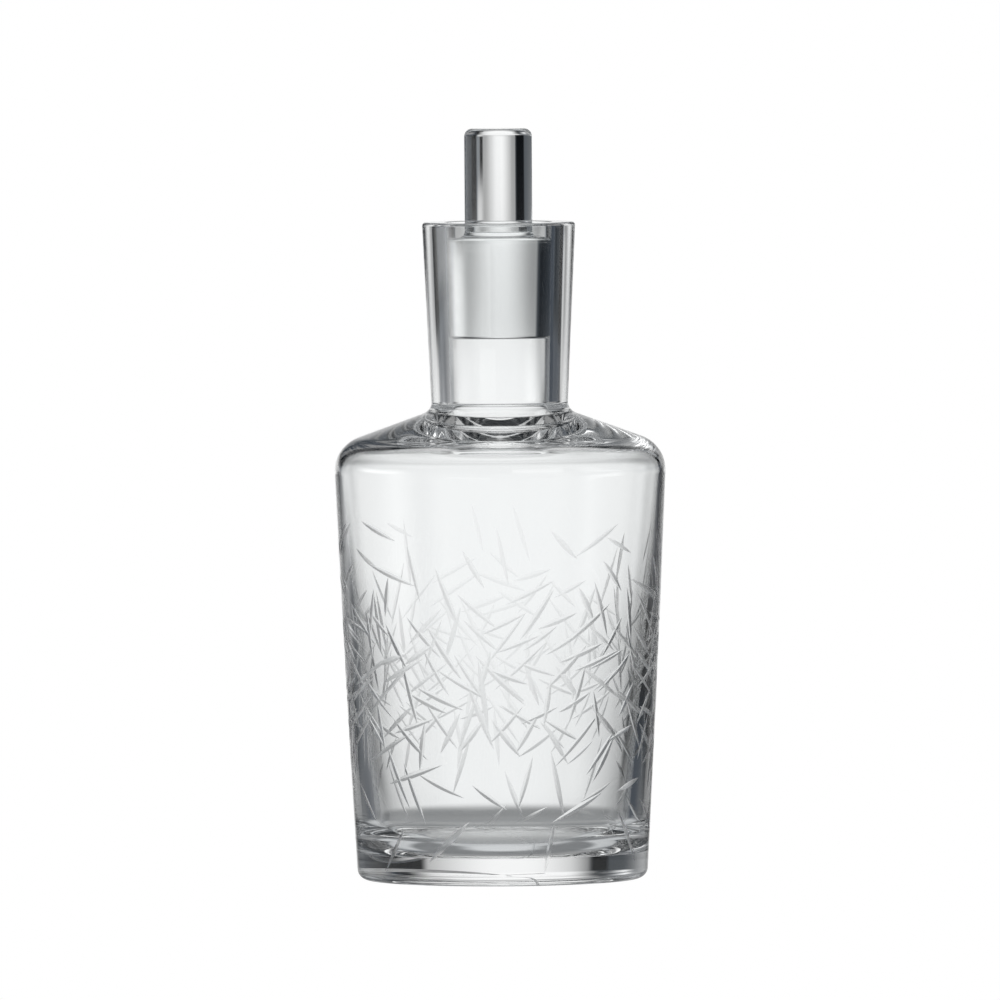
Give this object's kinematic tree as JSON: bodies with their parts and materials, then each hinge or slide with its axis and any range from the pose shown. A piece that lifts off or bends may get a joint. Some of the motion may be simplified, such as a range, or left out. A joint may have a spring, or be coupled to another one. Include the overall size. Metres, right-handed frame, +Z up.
{
  "type": "whiskey decanter",
  "caption": "Clear glass whiskey decanter with a tapering round body, heavy base, sloping shoulder, thick flared neck and a solid glass stopper that lifts out.",
  "frame": {"origin": "centre of the ring that the bottle stands on", "axes": "+Z up along the decanter's axis of turning; the decanter is the same all round, so +X and +Y are free, and the picture looks along +Y"},
  "size_m": [0.1086, 0.1086, 0.2462],
  "materials": {
    "bottle_glass": "clear, polished",
    "stopper_glass": "clear, polished"
  },
  "bodies": {
    "bottle": {"bottle": "bottle_glass"},
    "stopper": {"stopper": "stopper_glass"}
  },
  "joints": [
    {"name": "stopper_lift", "type": "slide", "parent": "bottle", "child": "stopper", "axis": [0, 0, 1], "range_m": [0, 0.073]}
  ]
}
